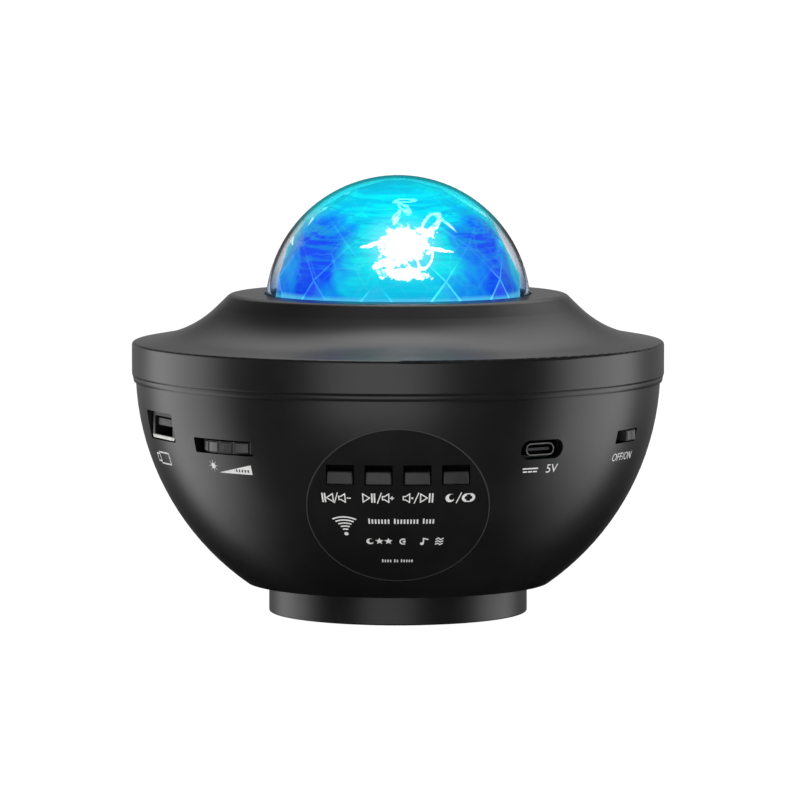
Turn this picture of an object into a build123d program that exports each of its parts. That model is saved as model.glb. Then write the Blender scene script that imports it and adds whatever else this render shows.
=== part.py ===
from build123d import *
from math import acos, cos, pi, radians, sin, sqrt, tan
import os

# Star night light projector, in millimetres.
# A bowl-shaped table projector that stands on a round base. The origin is the centre of the foot's underside,
# +Z is up, and the control panel faces -Y. A clear dome on top covers a faceted dome that a small gear motor
# turns round four LEDs and a laser. The bowl holds the boards, the sockets and controls, and a speaker that
# fires down through the base.

# ---- overall form ----
rim_radius = 73.0  # the widest point, the skirt of the top cover
bowl_radius = 72.0  # the bowl is part of a sphere
bowl_centre = 67.3  # height of that sphere's centre
wall = 2.2  # moulded wall of the shells
base_bottom = 0.4  # the base hangs this far clear of the table
bowl_bottom = 8.6
base_radius = 35.5
skirt_bottom = 64.4
bevel_top = 66.0  # the skirt turns in below this height, to meet the bowl
neck_top = 87.8
neck_radius = 46.1
neck_slope = 44.5  # degrees below the horizontal, at the top of the flank
flank_end = (49.85, neck_top - (49.85 - neck_radius) * tan(radians(neck_slope)))
brim_end = (65.6, 76.0)
brim_slope = 10.0

# ---- domes ----
dome_radius = 36.4
dome_wall = 0.8
dome_centre = 83.8
dome_opening = 36.7
flange_radius = 41.0
flange_low, flange_high = 83.9, 85.6
facets_per_row = 11
facet_latitudes = (0.0, 13.0, 27.0, 42.0, 58.0)
first_facets, second_facets = 33.35, 33.2  # distance of the two lowest rows of facets from the centre
crown_latitude, crown_facets, crown_top = 74.0, 34.5, 34.95
ripple_bore = 30.7
ripple_base = 81.6

# ---- drive ----
gear_module = 1.0
ring_teeth, pinion_teeth = 72, 12
gear_low, gear_high = 76.5, 80.0
gear_spacing = gear_module * (ring_teeth + pinion_teeth) / 2
pressure_angle = radians(20)
backlash = 0.3
collar_radius = 31.0
shaft_radius = 1.25
running_gap = 0.06

# ---- light deck ----
deck_low, deck_high = 73.4, 75.6
deck_radius = 57.0
deck_screw_circle = 53.5
clamp_screw_circle = 44.6
sink_radius = 20.6
led_circle = 14.0

# ---- boards ----
board_low, board_high = 46.4, 48.0
key_board_front, key_board_back = -50.4, -49.2
board_bosses = ((22.0, -40.0), (-22.0, -40.0), (50.0, -12.0), (-50.0, -12.0))

# ---- controls and sockets: the angle is measured from the front, positive to the right ----
panel_tilt = 28.3  # degrees, the panel looks this far below the horizontal
panel_radius = 24.4
panel_recess = 1.0
key_places = (-15.3, -5.1, 5.1, 15.3)
key_names = ("previous", "next", "play", "mode")
key_middle = 43.35
key_width, key_height = 6.7, 3.4
key_face = 67.7  # radius of the key faces about the Z axis
window_width, window_low, window_high = 7.4, 41.4, 46.9
wheel_angle, wheel_radius, wheel_middle, wheel_depth = -42.2, 12.5, 50.2, 3.2
wheel_centre = 58.35  # distance of the thumbwheel's axle from the Z axis
usb_a_angle, usb_a_middle = -65.5, 53.8
usb_c_angle, usb_c_middle = 33.2, 50.2
switch_angle, switch_middle, switch_travel = 61.2, 51.6, 5.2

ON_BASE = (Align.CENTER, Align.CENTER, Align.MIN)


# ---- shared shapes ----
def post(radius, low, high, x=0.0, y=0.0):
    """An upright cylinder between two heights."""
    return Pos(x, y, low) * Cylinder(radius, high - low, align=ON_BASE)


def ring(outer, inner, low, high):
    """A tube about the Z axis."""
    return post(outer, low, high) - post(inner, low - 1, high + 1)


def block(x, y, z):
    """A box from the low and high ends of each axis."""
    size = (x[1] - x[0], y[1] - y[0], z[1] - z[0])
    middle = ((x[0] + x[1]) / 2, (y[0] + y[1]) / 2, (z[0] + z[1]) / 2)
    return Pos(*middle) * Box(*size)


def spindle(radius, front, back, x, z):
    """A cylinder along Y between two depths."""
    return Pos(x, front, z) * Rot(-90, 0, 0) * Cylinder(radius, back - front, align=ON_BASE)


def turned(*edges):
    """A solid of revolution about Z from the edges of its half section, as (radius, height)."""
    return revolve(Plane.XZ * make_face(list(edges)), Axis.Z)


def turned_corners(*corners):
    return revolve(Plane.XZ * make_face(Polyline(*corners, close=True)), Axis.Z)


def around(count, shape, start=0.0):
    """Copies of a shape, evenly spaced about Z."""
    return [Rot(0, 0, start + 360 * k / count) * shape for k in range(count)]


def screw(head_radius, head_height, shank_radius, length):
    """A pan head screw that points up, with the underside of its head at height 0."""
    head = fillet(post(head_radius, -head_height, 0).edges().sort_by(Axis.Z)[0], head_height * 0.4)
    return head + post(shank_radius, 0, length)


def bowl_ball(inset=0.0):
    return Pos(0, 0, bowl_centre) * Sphere(bowl_radius - inset)


def bowl_at(height, inset=0.0):
    """The bowl's radius about the Z axis at a height."""
    return sqrt((bowl_radius - inset) ** 2 - (height - bowl_centre) ** 2)


def bowl_arc(start, end, inset=0.0):
    """The bowl's meridian from one height to another."""
    heights = (start, (start + end) / 2, end)
    return ThreePointArc(*((bowl_at(height, inset), height) for height in heights))


def slot_cut(width, height, middle, corner, depth=(-76.0, -63.0)):
    """A rounded opening that runs through the front of the bowl's wall."""
    face = RectangleRounded(width, height, corner)
    return Pos(0, depth[1], middle) * Rot(90, 0, 0) * extrude(face, depth[1] - depth[0])


# ---- lower housing ----
def lower_housing():
    """The bowl: a spherical wall, a floor with a hole for the speaker, and a lip that the top cover hides."""
    floor_high = bowl_bottom + wall
    speaker_hole = 26.0
    shoulder = skirt_bottom - 0.2
    lip_outer, lip_inner, lip_top = 70.7, 68.7, 69.4
    lip_root, wall_top = 62.3, 61.1
    outline = [
        Line((speaker_hole, bowl_bottom), (bowl_at(bowl_bottom), bowl_bottom)),
        bowl_arc(bowl_bottom, shoulder),
        Polyline(
            (bowl_at(shoulder), shoulder),
            (lip_outer, shoulder),
            (lip_outer, lip_top),
            (lip_inner, lip_top),
            (lip_inner, lip_root),
            (bowl_at(wall_top, wall), wall_top),
        ),
        bowl_arc(wall_top, floor_high, wall),
        Polyline(
            (bowl_at(floor_high, wall), floor_high),
            (speaker_hole, floor_high),
            (speaker_hole, bowl_bottom),
        ),
    ]
    body = turned(*(edge for curve in outline for edge in curve.edges()))
    body += base_bosses(floor_high)
    board_posts = [post(2.6, bowl_bottom, board_low, x, y) for x, y in board_bosses]
    guide = block((-20.6, 20.6), (-70, -60.9), (40.2, 48.0))
    body += [shape & bowl_ball(wall / 2) for shape in (*board_posts, guide)]
    body -= [post(1.0, board_low - 9, board_low + 1, x, y) for x, y in board_bosses]
    body -= around(4, post(1.3, bowl_bottom - 1, floor_high + 5, 29.5), 45)
    body -= panel_disc(panel_radius + 0.1, panel_recess, -3)
    body -= key_windows()
    body -= spindle(3.5, -70, -50, key_places[0] + 0.6, 31.8)
    body -= port_openings()
    snap_window = block((-4.6, 4.6), (-72, -68), (65.6, 68.2))
    return body - around(6, snap_window, 30)


def base_bosses(floor_high):
    """Four bosses on the bowl's floor that take the base screws."""
    return around(4, post(2.8, floor_high - 0.5, floor_high + 6.2, 29.5), 45)


def panel_disc(radius, deep, shallow):
    """A round piece of the bowl's skin on the panel's axis, between two depths under the surface."""
    aim = Plane((0, 0, bowl_centre), z_dir=(0, -cos(radians(panel_tilt)), -sin(radians(panel_tilt))))
    core = aim * Cylinder(radius, bowl_radius + 5, align=ON_BASE)
    return core & (bowl_ball(shallow) - bowl_ball(deep))


def key_windows():
    """The four openings that the keys look out of."""
    half = window_width / 2
    return [block((x - half, x + half), (-76, -59), (window_low, window_high)) for x in key_places]


def port_openings():
    """The sockets' and controls' openings in the bowl's wall."""
    return [
        Rot(0, 0, usb_a_angle) * slot_cut(17.2, 7.8, usb_a_middle, 0.8),
        Rot(0, 0, wheel_angle) * slot_cut(21.0, 4.05, wheel_middle, 0.4),
        Rot(0, 0, usb_c_angle) * slot_cut(13.4, 5.2, usb_c_middle, 2.59),
        Rot(0, 0, switch_angle) * slot_cut(11.6, 3.6, switch_middle, 0.4),
    ]


def control_panel():
    """The round control panel, a thin disc that follows the bowl in its recess."""
    return panel_disc(panel_radius, panel_recess - 0.05, 0.35) - key_windows()


# ---- top cover ----
def cover_outline(inset, inner_radius, low):
    """The cover's half section, filled down to a height: neck top, sloping flank, dished brim and skirt, and the
    bevel that leads the skirt in to the bowl."""

    def inward(point, slope):
        return (point[0] - inset * sin(radians(slope)), point[1] - inset * cos(radians(slope)))

    top = neck_top - inset
    corner = (neck_radius - inset * tan(radians(neck_slope / 2)), top)
    flank = inward(flank_end, neck_slope)
    brim = inward(brim_end, brim_slope)
    skirt = rim_radius - inset
    rim = (skirt, brim[1] - (skirt - brim[0]) * tan(radians(brim_slope)))
    crease = (skirt, bevel_top)
    foot = (min(skirt, bowl_radius), low)
    dish = TangentArc(flank, brim, tangent=(cos(radians(neck_slope)), -sin(radians(neck_slope))))
    edges = [
        *Polyline((inner_radius, low), (inner_radius, top), corner, flank).edges(),
        dish,
        *Polyline(brim, rim, crease, foot, (inner_radius, low)).edges(),
    ]
    face = make_face(edges)
    rounded = [(corner, 2.4), (rim, 0.9)] + ([(crease, 0.8)] if inset == 0 else [])
    for point, radius in rounded:
        face = fillet(face.vertices().sort_by_distance(point)[0], max(radius - inset, 0.4))
    return face


def cover_solid(inset, inner_radius, low):
    return revolve(Plane.XZ * cover_outline(inset, inner_radius, low), Axis.Z)


def top_cover():
    """The upper shell: a neck round the dome, a dished brim and a skirt over the bowl's lip, with its bosses,
    ribs and snap hooks inside."""
    filled = cover_solid(0, dome_opening, skirt_bottom)
    body = filled - cover_solid(wall - 0.1, dome_opening - 3, skirt_bottom - 1)
    clamp_boss = post(2.5, flange_low - 0.1, neck_top, clamp_screw_circle)
    deck_boss = post(3.0, deck_high, neck_top, deck_screw_circle)
    rib = block((-0.6, 0.6), (-70.0, -59.0), (71.6, 78.0))
    hook = block((-4, 4), (-68.5, -66.9), (65.0, 76.0))
    barb = Pos(0, 0, 65.9) * extrude(
        Plane.YZ * make_face(Polyline((-68.5, 0), (-69.9, 1.7), (-68.5, 1.7), close=True)), 3.6, both=True
    )
    inside = [*around(4, clamp_boss, 0), *around(4, deck_boss, 45), *around(12, rib, 15), *around(6, hook, 30)]
    body += [shape & filled for shape in inside]
    body += around(6, barb, 30)
    body -= around(4, post(1.05, flange_low - 1, neck_top - 1.0, clamp_screw_circle), 0)
    return body - around(4, post(1.3, deck_high - 1, deck_high + 3.2, deck_screw_circle), 45)


# ---- base ----
def base_cover():
    """The round base: a shallow cup with a speaker grille, screw pillars and a groove for the rubber foot."""
    floor_high = base_bottom + wall
    body = post(base_radius, base_bottom, bowl_bottom) - post(base_radius - wall, floor_high, bowl_bottom + 1)
    body = fillet(body.edges().filter_by(GeomType.CIRCLE).sort_by(Axis.Z)[0], 0.4)
    body += around(4, post(3.0, floor_high - 0.5, bowl_bottom, 29.5), 45)
    body += around(4, post(2.0, floor_high - 0.5, 5.0, 24.6), 0)
    body += ring(26.4, 25.4, floor_high - 0.5, floor_high + 0.9) - around(4, post(3.6, 2, 6, 24.6), 0)
    body -= ring(32.6, 26.4, base_bottom - 1, 1.5)
    body -= around(4, post(1.5, 0, bowl_bottom + 1, 29.5), 45)
    body -= around(4, post(2.7, 0, 3.7, 29.5), 45)
    body -= around(4, post(0.95, 1.8, 6, 24.6), 0)
    hole = post(1.2, 0, floor_high + 1)
    body -= [hole, *(Rot(0, 0, 360 * k / (6 * n)) * Pos(4.4 * n, 0, 0) * hole for n in (1, 2, 3) for k in range(6 * n))]
    return body


def foot_ring():
    """The soft ring that the projector stands on."""
    body = ring(32.4, 26.6, 0, 1.45)
    return fillet(body.edges().filter_by(GeomType.CIRCLE).group_by(Axis.Z)[0], 0.4)


def base_screws():
    """Four screws, under the foot ring, that hold the base to the bowl."""
    return around(4, Pos(29.5, 0, 3.7) * screw(2.4, 1.7, 1.25, 10.6), 45)


# ---- domes and drive ----
def outer_dome():
    """The clear cover: a hemisphere with a flange that the clamp ring holds."""
    lens = Pos(0, 0, dome_centre) * (Sphere(dome_radius) - Sphere(dome_radius - dome_wall))
    lens &= post(dome_radius + 2, flange_low, dome_centre + dome_radius + 1)
    return lens + ring(flange_radius, dome_radius - 1, flange_low, flange_high)


def dome_clamp_ring():
    """The ring, with four ears, that clamps the clear dome's flange up against the neck."""
    body = ring(41.2, 35.0, 82.2, flange_low - 0.1)
    body += around(4, post(2.3, 82.2, flange_low - 0.1, clamp_screw_circle), 0)
    body += around(4, block((40.0, clamp_screw_circle), (-2.3, 2.3), (82.2, flange_low - 0.1)), 0)
    return body - around(4, post(1.2, 80, 86, clamp_screw_circle), 0)


def facet_distances():
    """Each row's distance from the centre. Four facets meet at every corner: two neighbours of one row, and one
    facet each from the rows below and above, which are turned by half a facet."""
    half_step = pi / facets_per_row
    distances = [first_facets, second_facets]
    for below, row, above in zip(facet_latitudes, facet_latitudes[1:], facet_latitudes[2:]):
        # the corner (r, z) lies on the facet below and on the line where two neighbours of the row meet
        a, b = cos(radians(below)), sin(radians(below))
        c, d = cos(radians(row)) * cos(half_step), sin(radians(row))
        r = (distances[-2] * d - b * distances[-1]) / (a * d - b * c)
        z = (a * distances[-1] - distances[-2] * c) / (a * d - b * c)
        distances.append(cos(radians(above)) * r + sin(radians(above)) * z)
    return distances


def ripple_dome():
    """The turning inner dome: flat lozenge facets outside, a crown of narrow ones, and a smooth bore."""
    centre = Vector(0, 0, dome_centre)
    body = post(dome_radius, ripple_base, dome_centre + crown_top)
    rows = [*zip(facet_latitudes, facet_distances()), (crown_latitude, crown_facets)]
    for row, (latitude, distance) in enumerate(rows):
        for k in range(facets_per_row):
            turn = 2 * pi * (k + row / 2) / facets_per_row - radians(100.0)
            level = radians(latitude)
            normal = Vector(cos(level) * cos(turn), cos(level) * sin(turn), sin(level))
            body = split(body, Plane(centre + normal * distance, z_dir=normal), keep=Keep.BOTTOM)
    return body - Pos(0, 0, dome_centre) * Sphere(ripple_bore)


def tooth_half_angle(radius, teeth):
    """Half of a tooth's width at a radius, as an angle, on an involute flank."""
    pitch = gear_module * teeth / 2
    at_pitch = (pi * gear_module / 2 - backlash / 2) / (2 * pitch)
    involute = tan(pressure_angle) - pressure_angle
    here = acos(min(1.0, pitch * cos(pressure_angle) / radius))
    return at_pitch + involute - (tan(here) - here)


def gear_face(teeth, turn):
    """A spur gear's outline, with a tooth centred on the angle turn."""
    pitch = gear_module * teeth / 2
    foot, tip = pitch - 1.15 * gear_module, pitch + 0.8 * gear_module
    flank = (foot, max(pitch * cos(pressure_angle), foot + 0.2), pitch, tip)
    corners = []
    for k in range(teeth):
        middle = turn + 2 * pi * k / teeth
        rising = [(radius, middle - tooth_half_angle(max(radius, flank[1]), teeth)) for radius in flank]
        falling = [(radius, 2 * middle - angle) for radius, angle in reversed(rising)]
        corners += [(radius * cos(angle), radius * sin(angle)) for radius, angle in rising + falling]
    return make_face(Polyline(*corners, close=True))


def dome_gear():
    """The ring gear that carries the ripple dome and turns on the deck's collar. A tooth gap faces the pinion."""
    teeth = Pos(0, 0, gear_low) * extrude(gear_face(ring_teeth, pi / 2 + pi / ring_teeth), gear_high - gear_low)
    body = teeth + post(34.2, gear_low, ripple_base)
    return body - post(collar_radius + running_gap, gear_low - 1, ripple_base + 1)


def drive_pinion():
    """The motor's pinion, with one tooth in the ring gear's gap."""
    teeth = extrude(gear_face(pinion_teeth, -pi / 2), gear_high - gear_low)
    hub = post(3.2, -0.6, 0.5)
    return Pos(0, gear_spacing, gear_low) * (teeth + hub - post(shaft_radius + 0.01, -1, 5))


def drive_shaft():
    return post(shaft_radius, 67.0, gear_high + 0.3, 0, gear_spacing)


def motor_gearbox():
    """The motor's round gearbox, with the flange that screws to the deck."""
    body = post(8.5, 66.4, deck_low, 0, gear_spacing)
    body += block((-13, 13), (gear_spacing - 4, gear_spacing + 4), (deck_low - 1.5, deck_low))
    body -= [post(1.1, 70, 75, x, gear_spacing) for x in (-10.8, 10.8)]
    return body - post(shaft_radius + running_gap, 66.9, 75, 0, gear_spacing)


def drive_motor():
    """The motor can, with its end cap and two solder tags."""
    body = post(8.0, 50.4, 66.4, 0, gear_spacing)
    body = fillet(body.edges().filter_by(GeomType.CIRCLE).sort_by(Axis.Z)[0], 1.0)
    body += post(3.0, 49.4, 51, 0, gear_spacing)
    tags = [block((x - 0.3, x + 0.3), (gear_spacing + 3, gear_spacing + 5), (47.8, 51)) for x in (-3.5, 3.5)]
    return body + tags


def motor_screws():
    return [Pos(x, gear_spacing, deck_low - 1.5) * screw(2.0, 1.3, 0.95, 3.4) for x in (-10.8, 10.8)]


# ---- light deck ----
def light_deck():
    """The plate across the neck: a collar that the dome gear turns on, a thrust rib, and holes for what it carries."""
    body = post(deck_radius, deck_low, deck_high)
    body += ring(collar_radius, collar_radius - 2.4, deck_high - 0.5, 81.0)
    body += ring(33.8, 32.8, deck_high - 0.5, gear_low - 0.1)
    body -= post(sink_radius + 0.2, deck_low - 1, deck_high + 1)
    body -= post(3.6, deck_low - 1, deck_high + 1, 0, gear_spacing)
    body -= [post(1.05, deck_low - 1, deck_high + 1, x, gear_spacing) for x in (-10.8, 10.8)]
    body -= around(4, post(1.5, deck_low - 1, deck_high + 1, deck_screw_circle), 45)
    body -= post(2.0, deck_low - 1, deck_high + 1, 0, -23.4)
    vent = ring(49, 41, deck_low - 1, deck_high + 1) & block((-12, 12), (-52, -36), (70, 80))
    return body - [Rot(0, 0, turn) * vent for turn in (0, 90, 270)]


def deck_screws():
    return around(4, Pos(deck_screw_circle, 0, deck_low) * screw(2.5, 1.5, 1.25, 4.8), 45)


def clamp_screws():
    return around(4, Pos(clamp_screw_circle, 0, 82.2) * screw(2.0, 1.2, 1.0, 4.4), 0)


def heat_sink():
    """The aluminium sink under the LED board: a disc with straight fins round the laser's barrel."""
    body = post(sink_radius, deck_low - 0.4, deck_high)
    fins = [block((x - 0.7, x + 0.7), (-20, 20), (65, deck_low)) for x in (-15, -10, -5, 0, 5, 10, 15)]
    body += [fin & post(sink_radius - 1, 60, 80) for fin in fins]
    return body - post(5.3, 60, 80) - post(7.0, 60, deck_low - 0.4)


def led_board():
    body = post(26.0, deck_high, deck_high + 1.6)
    return body - post(5.3, 70, 80) - around(2, post(1.1, 70, 80, 23.4), 0)


def led_emitters():
    """Four LED packages, each with a small moulded lens."""
    top = deck_high + 1.6
    package = Pos(led_circle, 0, top + 0.5) * Box(5, 5, 1)
    lens = Pos(led_circle, 0, top + 0.8) * Sphere(2.1) & post(3, top + 0.8, top + 4, led_circle)
    return around(4, package + lens, 45)


def reflector():
    """The white dish over the LED board, with holes for the LEDs and the laser."""
    low, thick = 78.3, 0.8
    body = turned_corners((7.0, low), (27.8, low + 1.6), (27.8, low + 1.6 + thick), (7.0, low + thick))
    body -= around(4, post(3.3, 70, 85, led_circle), 45)
    return body + around(3, post(1.2, deck_high + 1.6, low + 1.2, 20.5), 90)


def laser_module():
    """The laser's brass barrel, with a shoulder at the back."""
    return post(5.0, 62.0, 78.4) + post(5.8, 60.0, 63.0)


def grating_cap():
    """The cap on the barrel that holds the star grating."""
    body = post(6.4, 77.3, 80.8) - post(5.06, 77.0, 78.5) - post(4.4, 78.4, 79.6)
    return body - post(2.8, 77.0, 82.0)


# ---- boards ----
def main_board():
    """The main circuit board, a half disc that follows the bowl, notched in front for the keys."""
    body = post(63.5, board_low, board_high) & block((-63, 63), (-64, -6), (board_low, board_high))
    body -= block((-23, 23), (-70, -57.5), (board_low - 1, board_high + 1))
    return body - [post(1.3, board_low - 1, board_high + 1, x, y) for x, y in board_bosses]


def board_screws():
    flip = Rot(180, 0, 0)
    return [Pos(x, y, board_high) * flip * screw(2.1, 1.3, 0.95, 8.0) for x, y in board_bosses]


def chip(x, y, width, depth, height, base=board_high):
    """A moulded package with a tapered top."""
    body = block((x - width / 2, x + width / 2), (y - depth / 2, y + depth / 2), (base + 0.1, base + height))
    return chamfer(body.edges().group_by(Axis.Z)[-1], 0.25)


def radio_module():
    """The radio board with its screening can, soldered flat on the main board."""
    board = block((-17, -2), (-33, -21), (board_high, board_high + 0.8))
    can = block((-15.5, -5.5), (-31.5, -22.5), (board_high + 0.8, board_high + 2.8))
    return board + fillet(can.edges().group_by(Axis.Z)[-1], 0.4)


def controller_chips():
    """The controller, the audio amplifier, a regulator and the choke beside it."""
    return [
        chip(2.0, -43.0, 9.0, 9.0, 1.5),
        chip(12.0, -27.0, 6.5, 5.2, 1.7),
        chip(24.0, -21.0, 6.0, 5.0, 1.9),
        chip(33.0, -20.0, 7.2, 7.2, 4.0),
    ]


def capacitors():
    """Three upright electrolytic capacitors."""
    can = fillet(post(3.1, board_high, board_high + 8.5).edges().sort_by(Axis.Z)[-1], 0.5)
    return [Pos(x, y, 0) * can for x, y in ((36, -33), (43, -24), (-34, -18))]


def lead_connectors():
    """The three two-pin plugs at the board's back edge."""
    shell = block((-3.6, 3.6), (-11.5, -7.0), (board_high, board_high + 5.4))
    return [Pos(x, 0, 0) * shell for x in (-14, 0, 14)]


def key_board():
    """The small upright board behind the keys, soldered to the main board's underside."""
    return block((-20, 20), (key_board_front, key_board_back), (28.0, board_low))


def key_switches():
    """The four push switches on the key board, each open in front for its plunger."""
    body = block((-3, 3), (key_board_front - 3.2, key_board_front), (key_middle - 3, key_middle + 2.9))
    body -= spindle(1.75, key_board_front - 4, key_board_front - 0.8, 0, key_middle)
    return [Pos(x, 0, 0) * body for x in key_places]


def ir_receiver():
    """The remote receiver on the key board, a moulded block with a round lens."""
    x, z = key_places[0] + 0.6, 31.8
    body = block((x - 2.8, x + 2.8), (key_board_front - 3.0, key_board_front), (z - 3.2, z + 3.2))
    return body + spindle(2.0, key_board_front - 4.2, key_board_front - 2.9, x, z)


# ---- keys ----
def button(place):
    """A key: a cap that the window guides, a flange that stops it behind the wall, and a stem to its switch."""
    cap = block(
        (place - key_width / 2, place + key_width / 2),
        (-72, -60.5),
        (key_middle - key_height / 2, key_middle + key_height / 2),
    )
    cap &= post(key_face, 30, 60)
    cap = fillet(cap.edges().sort_by(Axis.Y)[0:4], 0.35)
    flange = block((place - 4.6, place + 4.6), (-60.6, -59.4), (40.5, 47.8))
    return cap + flange + spindle(1.5, -59.6, -55.2, place, key_middle)


def plunger(place):
    """The moving part of the push switch behind a key."""
    return spindle(1.55, -55.2, -52.0, place, key_middle)


# ---- dimmer ----
def dimmer_wheel():
    """The thumbwheel: a hollow wheel with grip notches round its rim."""
    low, high = wheel_middle - wheel_depth / 2, wheel_middle + wheel_depth / 2
    body = post(wheel_radius, low, high)
    body = chamfer(body.edges().filter_by(GeomType.CIRCLE), 0.4)
    body -= around(17, post(0.55, low - 1, high + 1, wheel_radius - 0.1), -90)
    body -= post(8.2, low - 1, low + 2.0) + post(2.0, low - 1, high + 1)
    return Rot(0, 0, wheel_angle) * Pos(0, -wheel_centre, 0) * body


def dimmer_body():
    """The potentiometer under the wheel, with the fixed axle that the wheel turns on."""
    body = post(7.0, board_high, 50.1) + post(2.0 - running_gap, 50.0, 52.1) + post(3.2, 52.0, 52.8)
    return Rot(0, 0, wheel_angle) * Pos(0, -wheel_centre, 0) * body


# ---- power switch ----
def power_switch_body():
    """The slide switch on the main board, open in front for the knob's stem."""
    body = block((-7.0, 7.0), (-63.6, -58.4), (board_high, 54.2))
    body -= block((-4.7, 4.7), (-64, -61.0), (switch_middle - 1.3, switch_middle + 1.3))
    return Rot(0, 0, switch_angle) * body


def power_switch_knob():
    """The sliding knob, at rest at the ON end, with three fine grip lines."""
    middle = switch_travel / 2
    stem = block((middle - 1.6, middle + 1.6), (-65, -61.4), (switch_middle - 1.0, switch_middle + 1.0))
    cap = block((middle - 2.5, middle + 2.5), (-70.3, -64.4), (switch_middle - 1.45, switch_middle + 1.45))
    cap = fillet(cap.edges().group_by(Axis.Y)[0], 0.4)
    grooves = [block((middle + x - 0.1, middle + x + 0.1), (-71, -70.15), (49, 54)) for x in (-0.9, 0, 0.9)]
    return Rot(0, 0, switch_angle) * (stem + cap - grooves)


# ---- sockets ----
def usb_a_shell():
    """The flat steel tube of the USB-A socket, with the lip rolled out round its mouth."""
    lip, outer, inner = (15.4, 7.1), (13.1, 5.7), (12.5, 5.1)
    body = slot_cut(*outer, usb_a_middle, 0.5, (-69.4, -55.4)) + slot_cut(*lip, usb_a_middle, 1.0, (-69.4, -69.05))
    return Rot(0, 0, usb_a_angle) * (body - slot_cut(*inner, usb_a_middle, 0.3, (-71, -54)))


def usb_a_insert():
    """The socket's plastic insert: the contact tongue, a plug at the back and the riser it stands on."""
    tongue = block((-5.55, 5.55), (-68.6, -57.0), (usb_a_middle, usb_a_middle + 1.84))
    plug = block((-6.1, 6.1), (-58.5, -55.0), (usb_a_middle - 2.45, usb_a_middle + 2.45))
    rear = block((-6.5, 6.5), (-55.3, -54.0), (board_high, usb_a_middle + 2.8))
    riser = block((-6.5, 6.5), (-66.0, -54.0), (board_high, usb_a_middle - 2.9))
    return Rot(0, 0, usb_a_angle) * (tongue + plug + rear + riser)


def usb_c_shell():
    """The oval steel tube of the USB-C socket."""
    body = slot_cut(8.94, 3.26, usb_c_middle, 1.62, (-68.7, -61.4))
    body -= slot_cut(8.34, 2.66, usb_c_middle, 1.32, (-70, -60))
    return Rot(0, 0, usb_c_angle) * body


def usb_c_insert():
    tongue = block((-3.35, 3.35), (-68.0, -62.0), (usb_c_middle - 0.35, usb_c_middle + 0.35))
    plug = slot_cut(8.1, 2.5, usb_c_middle, 1.24, (-63.5, -61.2))
    rear = block((-4.2, 4.2), (-61.35, -60.6), (board_high, usb_c_middle + 1.5))
    riser = block((-4.2, 4.2), (-66.5, -60.6), (board_high, usb_c_middle - 1.68))
    return Rot(0, 0, usb_c_angle) * (tongue + plug + rear + riser)


# ---- speaker ----
def speaker_basket():
    """The pressed steel frame, with six windows in its cone."""
    body = turned_corners(
        (19.9, 4.2), (22.5, 4.2), (22.5, 5.2), (20.9, 5.2), (16.0, 13.6), (16.0, 14.2),
        (6.8, 14.2), (6.8, 13.4), (15.2, 13.4), (19.9, 5.3),
    )
    window = block((-3.6, 3.6), (-21, -12), (6.6, 12.2))
    terminals = block((13.6, 18.6), (10.0, 12.4), (9.4, 10.4)) - post(17.6, 8, 11)
    return body - around(6, window, 30) + terminals


def speaker_magnet():
    """The ring magnet with its back plate and centre pole."""
    body = ring(15.0, 7.4, 14.2, 19.4) + post(14.4, 19.4, 21.6) + post(5.2, 13.2, 20)
    return chamfer(body.edges().filter_by(GeomType.CIRCLE).sort_by(Axis.Z)[-1], 0.5)


def speaker_cone():
    """The paper cone with its dust cap."""
    cone = turned_corners((17.9, 3.75), (17.9, 4.2), (17.4, 4.2), (6.0, 11.4), (6.0, 10.8), (17.1, 3.75))
    bulge = 16.0  # radius of the dust cap's sphere
    cap = Pos(0, 0, 9.4 + sqrt(bulge**2 - 7.0**2)) * (Sphere(bulge) - Sphere(bulge - 0.5))
    return cone + (cap & post(8.0, 5.0, 10.3))


def voice_coil():
    return ring(6.0, 5.65, 10.8, 17.2) + ring(6.35, 5.9, 14.4, 17.0)


def speaker_surround():
    """The soft roll between the cone and the frame."""
    roll = Pos(0, 0, 4.2) * (Torus(18.65, 1.15) - Torus(18.65, 0.75)) & ring(21, 16, 4.2, 8)
    return roll + ring(22.0, 19.4, 3.75, 4.2)


def speaker_gasket():
    """The foam ring between the speaker and the base."""
    return ring(22.4, 18.6, base_bottom + wall, 3.75)


def speaker_screws():
    flip = Rot(180, 0, 0)
    return around(4, Pos(24.6, 0, 5.25) * flip * screw(3.0, 1.2, 0.9, 3.0), 0)


# ---- leads: two wires side by side, in straight runs joined by arcs ----
wire_radius = 0.55


def lead(spread, points):
    """A pair of wires along one route, a distance apart along X."""
    wires = []
    for side in (-spread / 2, spread / 2):
        route = [Vector(x + side, y, z) for x, y, z in points]
        runs = [(b - a).length for a, b in zip(route, route[1:])]
        turns = [(b - a).get_angle(c - b) for a, b, c in zip(route, route[1:], route[2:])]
        radii = [0.45 * min(p, q) / tan(radians(turn) / 2) for p, q, turn in zip(runs, runs[1:], turns)]
        path = FilletPolyline(*route, radius=radii)
        wires.append(sweep(Plane(path @ 0, z_dir=path % 0) * Circle(wire_radius), path))
    return wires


def speaker_leads():
    return lead(2.0, [(14, -6.9, 50.5), (14, -2, 49.5), (14, 1, 40), (15, 2, 28), (15.8, 10.5, 19), (16.2, 11.2, 10.5)])


def motor_leads():
    return lead(7.0, [(0, -6.9, 50.5), (0, 2, 50), (0, 14, 45), (0, 31, 41.5), (0, 46, 40), (0, 46, 47.8)])


def led_leads():
    return lead(1.8, [(-14, -6.9, 50.5), (-14, -2, 52), (-12, -1, 58.5), (-6, -13, 62.5), (0, -23.4, 66), (0, -23.3, 75.5)])


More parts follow.
